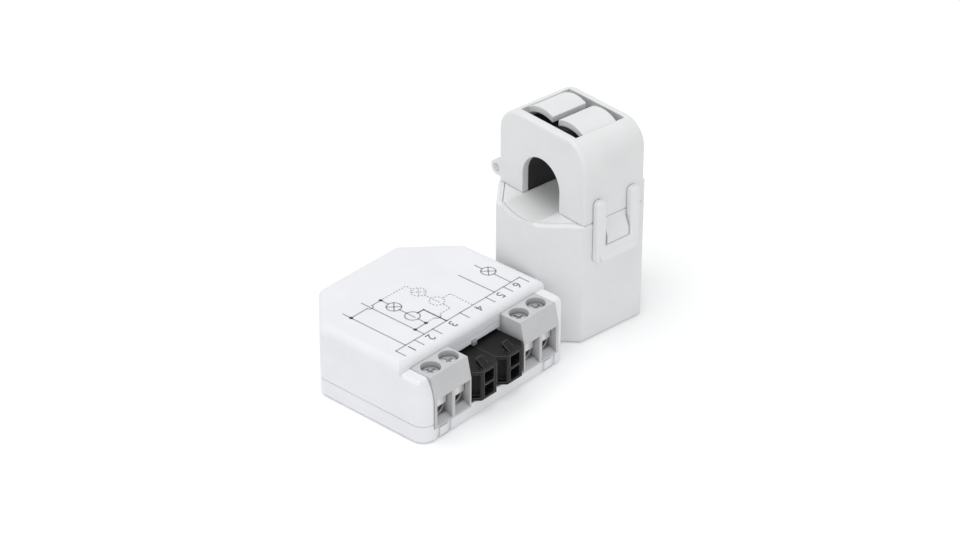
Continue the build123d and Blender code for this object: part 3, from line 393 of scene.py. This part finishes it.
def ink(name, colour):
    """Matt printing ink: a little thin and broken where the grain shows through."""
    material = moulded(
        name, colour, roughness=0.6, grain=9000.0, depth=0.1, edge=0.00002, painted_highlight=0
    )
    tree = material.node_tree
    spot = wire(tree, "ShaderNodeTexCoord").outputs["Object"]
    pores = wire(
        tree, "ShaderNodeTexNoise", [("Vector", spot)], Scale=pore_size, Detail=3.0
    ).outputs["Fac"]
    cover = wire(
        tree, "ShaderNodeMapRange", [("Value", pores)], From_Min=0.38, From_Max=0.5
    ).outputs["Result"]
    thin = [(1 - ink_share) * lid + ink_share * own for lid, own in zip(lid_white, colour)]
    blend = wire(
        tree, "ShaderNodeMix",
        [("Factor", cover), ("A", (*thin, 1)), ("B", tree.nodes["Group"].outputs["Colour"])],
        data_type="RGBA",
    )
    tree.links.new(blend.outputs["Result"], tree.nodes["Principled BSDF"].inputs["Base Color"])
    return material


grey_ink = ink("print_grey", (0.27, 0.27, 0.28))
pale_ink = ink("print_pale", (0.34, 0.34, 0.35))
dark_ink = ink("print_dark", (0.09, 0.09, 0.095))

lines = bmesh.new()
stroke(lines, (tick_xs[0], bar_y), (tick_xs[-1], bar_y), thin_line)
for tick_x in tick_xs:
    stroke(lines, (tick_x, bar_y), (tick_x, bar_y - tick_l), thin_line)
for start, end in (
    ((feed_xs[0], bar_y), (feed_xs[0], 8.1)), ((feed_xs[1], bar_y), (feed_xs[1], 8.15)),
    (joint_spots[0], (-10.3, 6.0)), ((-8.9, 6.05), joint_spots[1]),
    (joint_spots[1], (-6.38, 4.05)), ((-6.4, 1.05), (-6.45, -3.0)),
    (joint_spots[2], joint_spots[3]), (joint_spots[3], (-6.45, -3.85)),
    ((feed_xs[4], bar_y), (feed_xs[4], 1.0)),
    ((feed_xs[5], bar_y), (feed_xs[5] + 0.1, -3.8)), ((feed_xs[5], -0.8), (feed_xs[5], 1.1)),
):
    stroke(lines, start, end, thin_line)
hop(lines, (feed_xs[1], 6.0), line_hop_r)
ring(lines, upper_lamp)
cross(lines, upper_lamp, stroke)
ring(lines, lower_ring)
ring(lines, side_lamp)
cross(lines, side_lamp, stroke)
piece_from(lines, "lid_print_lines", grey_ink, "module_body")

dots = bmesh.new()
for centre in joint_spots:
    bmesh.ops.create_cone(
        dots, cap_ends=True, segments=dot_sides, radius1=dot_r, radius2=dot_r, depth=ink_t,
        matrix=Matrix.Translation((*centre, ink_middle)),
    )
stroke(dots, (feed_xs[2], bar_y), (feed_xs[2], -2.4), solid_line)
stroke(dots, (feed_xs[2], -2.4), (-4.95, -2.35), solid_line)
piece_from(dots, "lid_print_joints", dark_ink, "module_body")

dotted = bmesh.new()
for start, end in (
    ((-5.9, 6.1), (0.75, 6.05)), ((0.75, 6.05), (0.72, 4.3)), ((0.7, 1.15), (0.7, -0.7)),
    ((0.7, -1.0), (0.72, -3.0)), ((feed_xs[3], bar_y), (4.4, -2.3)), ((4.4, -2.3), (2.3, -2.3)),
    ((0.7, -3.8), (0.6, -5.8)), ((0.6, -5.8), (-2.4, -5.85)), ((-4.1, -5.95), (-6.2, -6.0)),
):
    dashes(dotted, start, end, thin_line)
for centre in (dotted_lamp, dotted_ring):
    for step in range(ring_dashes):
        angle = 2 * pi * step / ring_dashes
        spot = Vector(centre) + Vector((cos(angle), sin(angle))) * ring_r
        along = Vector((-sin(angle), cos(angle))) * (dash_l - thin_line) / 2
        stroke(dotted, spot - along, spot + along, thin_line)
cross(dotted, dotted_lamp, dashes)
hop(dotted, (feed_xs[2], -5.9), solid_hop_r)
piece_from(dotted, "lid_print_dotted", pale_ink, "module_body")

for number, feed_x in enumerate(feed_xs, start=1):
    words = bpy.data.curves.new(f"figure_{number}", "FONT")
    words.body = str(number)
    words.size = figure_h
    words.align_x = "CENTER"
    words.align_y = "CENTER"
    words.extrude = ink_t / 2
    words.resolution_u = figure_steps
    letter = bpy.data.objects.new(f"figure_{number}", words)
    bpy.context.scene.collection.objects.link(letter)
    bpy.context.view_layer.update()
    shaped = letter.evaluated_get(bpy.context.evaluated_depsgraph_get())
    flat = bpy.data.meshes.new_from_object(shaped)
    bpy.data.objects.remove(letter)
    figure = bmesh.new()
    figure.from_mesh(flat)
    figure_spot = (feed_x, bar_y - figure_drop, ink_middle)
    bmesh.ops.rotate(figure, matrix=Matrix.Rotation(pi, 3, "Z"), verts=figure.verts)
    bmesh.ops.translate(figure, vec=figure_spot, verts=figure.verts)
    piece_from(figure, f"lid_figure_{number}", dark_ink, "module_body")

# Meter's tray: the same plastic in a slightly greyer batch, closed from below.
# Its low lip runs under the terminals and is notched for the snaps.
finish_nodes(moulded("tray_white", (0.85, 0.855, 0.88), roughness=0.5), "bottom_cover")

# Terminal mouldings: flame-retardant grey polyamide, matt and slightly mottled.
# Two wells on top hold the clamp screws and two slots in front take the wires. Painted shade makes
# both darker, and the grey sides close to other parts too.
painted_shade_reach = 0.0022
painted_shade_tone = 0.38
terminal_grey = moulded(
    "terminal_grey", (0.59, 0.59, 0.595), roughness=0.55, depth=0.3, edge=0.00015, mottle=0.04
)
terminal_tree = terminal_grey.node_tree
# Painted shade: the colour darkens where other surfaces are near, as in the wells and slots.
hollow = wire(terminal_tree, "ShaderNodeAmbientOcclusion", samples=8, Distance=painted_shade_reach)
painted_shade = wire(
    terminal_tree, "ShaderNodeMapRange", [("Value", hollow.outputs["AO"])],
    From_Min=0.1, From_Max=0.85, To_Min=painted_shade_tone, To_Max=1.0,
).outputs["Result"]
terminal_tree.links.new(
    shaded(terminal_tree, terminal_tree.nodes["Group"].outputs["Colour"], painted_shade),
    terminal_tree.nodes["Principled BSDF"].inputs["Base Color"],
)
finish_nodes(terminal_grey, "terminal_block_left", "terminal_block_right")

# Clamp screws: zinc-plated steel, cold-headed, with a cross slot in the head,
# fine drawn lines down the shank and a few dull stains.
ways = range(1, 5)
line_stretch = (1, 1, 0.06)
line_height = 0.00003
blotch_size = 900.0
stain_roughness = 0.5

metal, metal_in, metal_out = effect("worked_metal", [
    ("Colour", "NodeSocketColor", (0.7, 0.7, 0.7, 1)), ("Roughness", "NodeSocketFloat", 0.3),
    ("Line size", "NodeSocketFloat", 3000.0), ("Line depth", "NodeSocketFloat", 0.2),
    ("Edge radius", "NodeSocketFloat", 0.0001), ("Stain", "NodeSocketFloat", 0.25),
])
metal_place = wire(metal, "ShaderNodeTexCoord").outputs["Object"]
stretched = wire(
    metal, "ShaderNodeMapping", [("Vector", metal_place), ("Scale", line_stretch)]
).outputs["Vector"]
drawn_lines = wire(
    metal, "ShaderNodeTexNoise",
    [("Vector", stretched), ("Scale", metal_in.outputs["Line size"])],
    Detail=3.0, Roughness=0.6,
).outputs["Fac"]
blotch = wire(
    metal, "ShaderNodeTexNoise", [("Vector", metal_place)], Scale=blotch_size, Detail=4.0
).outputs["Fac"]
blotch_mask = wire(
    metal, "ShaderNodeMapRange", [("Value", blotch)], From_Min=0.42, From_Max=0.68
).outputs["Result"]
stain = maths(metal, "MULTIPLY", blotch_mask, metal_in.outputs["Stain"])
dulled = maths(metal, "SUBTRACT", 1.0, stain)
metal_tint = shaded(metal, metal_in.outputs["Colour"], dulled)
metal.links.new(metal_tint, metal_out.inputs["Colour"])
metal_rough = maths(
    metal, "MULTIPLY_ADD", stain, stain_roughness, metal_in.outputs["Roughness"]
)
metal.links.new(metal_rough, metal_out.inputs["Roughness"])
metal_edge = wire(
    metal, "ShaderNodeBevel", [("Radius", metal_in.outputs["Edge radius"])], samples=4
).outputs["Normal"]
metal_bump = wire(
    metal, "ShaderNodeBump",
    [("Height", drawn_lines), ("Strength", metal_in.outputs["Line depth"]), ("Normal", metal_edge)],
    Distance=line_height,
).outputs["Normal"]
metal.links.new(metal_bump, metal_out.inputs["Normal"])


def worked(name, colour, roughness, depth=0.2, stain=0.25):
    """A worked metal: drawn lines, a few dull stains and soft edges."""
    material = dressed(name, metal, (
        ("Colour", (*colour, 1)), ("Roughness", roughness), ("Line depth", depth),
        ("Stain", stain),
    ))
    material.node_tree.nodes["Principled BSDF"].inputs["Metallic"].default_value = 1.0
    return material


finish_nodes(
    worked("screw_zinc", (0.82, 0.83, 0.86), roughness=0.25, depth=0.3, stain=0.35),
    *[f"terminal_screw_{way}" for way in ways],
)

# Clamp cages and contact strips: bent zinc-plated steel, and tinned brass. Each
# strip's guard plate fills the top of its slot, and the cage rises behind it.
finish_nodes(
    worked("cage_zinc", (0.72, 0.72, 0.73), roughness=0.34, depth=0.3),
    *[f"clamp_cage_{way}" for way in ways],
)
finish_nodes(
    worked("tinned_strip", (0.84, 0.84, 0.84), roughness=0.42, stain=0.12),
    "terminal_contacts_left", "terminal_contacts_right",
)

# Sensor headers: black glass-filled nylon, with two square sockets and a ramp
# that the plug's latch rides over. Their pins are gold-flashed.
# Their edges and socket frames are painted many times lighter than the black, a painted highlight.
finish_nodes(
    moulded(
        "header_black", (0.010, 0.010, 0.0105), roughness=0.5, depth=0.45, edge=0.0003,
        painted_highlight=11.0, gloss=0.2,
    ),
    "sensor_header_a", "sensor_header_b",
)
finish_nodes(
    worked("pin_gold", (0.83, 0.62, 0.28), roughness=0.25), "header_pins_a", "header_pins_b"
)

# Light window and button: a milky strip in front of the status lamp, and a small grey plunger in
# its notch. The strip's near-white colour is painted light, kept bright against the shade of its
# recess.
finish_nodes(
    moulded("window_painted_light", (0.93, 0.95, 1.0), roughness=0.3, depth=0.05, mottle=0.03),
    "light_window",
)
finish_nodes(moulded("button_grey", (0.30, 0.30, 0.31), roughness=0.45), "reset_button")

# Circuit board and the parts soldered to it, all out of sight once the lid is
# on: green mask, black epoxy bodies, a tinned shield, and lacquered or sleeved
# parts in their usual colours.
finish_nodes(
    moulded("mask_green", (0.02, 0.11, 0.06), roughness=0.3, grain=900.0),
    "circuit_board", "radio_board",
)
finish_nodes(
    moulded("epoxy_black", (0.018, 0.018, 0.02), roughness=0.45, depth=0.4),
    "relay", "reset_switch", "bridge_rectifier", "metering_chip", "burden_resistors",
)
finish_nodes(worked("shield_tin", (0.70, 0.70, 0.69), roughness=0.3), "radio_shield")
finish_nodes(moulded("sleeve_dark", (0.03, 0.035, 0.05), roughness=0.3), "filter_capacitors")
finish_nodes(moulded("lacquer_blue", (0.03, 0.10, 0.30), roughness=0.25), "varistor")
finish_nodes(moulded("lacquer_green", (0.08, 0.2, 0.13), roughness=0.3), "fusible_resistor")
finish_nodes(
    moulded("ferrite_grey", (0.06, 0.06, 0.065), roughness=0.7, depth=0.6), "power_inductor"
)
finish_nodes(moulded("lamp_milky", (0.85, 0.85, 0.78), roughness=0.3), "status_led")

# Transformer's tub, deck, jaw and latch loop: white polycarbonate, moulded
# with soft edges. The jaw snaps shut over the cable, held by the glossier loop.
finish_nodes(
    moulded("clamp_white", (0.80, 0.81, 0.81), roughness=0.42, edge=0.00025),
    "ct_lower_shell", "ct_cradle", "ct_jaw_shell",
)
# The loop's edges are painted lighter than the tub's, a painted highlight along its rounded edges.
finish_nodes(
    moulded("loop_white", (0.82, 0.83, 0.84), roughness=0.38, edge=0.00035, painted_highlight=0.14),
    "ct_latch_loop",
)

# Split core: two ground halves of dark laminated alloy, one in the jaw and one
# in the tub. Their ends meet when the jaw is shut.
finish_nodes(
    moulded("core_dark", (0.02, 0.02, 0.021), roughness=0.5, depth=0.4),
    "ct_upper_core", "ct_lower_core",
)

# Bobbin and winding, shut in the tub: a black nylon spool round the lower half
# of the core, wound with enamelled copper wire.
finish_nodes(moulded("bobbin_black", (0.02, 0.02, 0.02), roughness=0.5), "ct_bobbin")
finish_nodes(worked("enamelled_copper", (0.55, 0.20, 0.09), roughness=0.3), "ct_winding")

# Lead bush and hinge pin: a black rubber bush in the tub's far nose, and drawn
# steel wire through the knuckles at the back.
finish_nodes(moulded("bush_rubber", (0.02, 0.02, 0.02), roughness=0.7), "ct_lead_bush")
finish_nodes(worked("pin_steel", (0.62, 0.62, 0.63), roughness=0.3), "ct_hinge_pin")
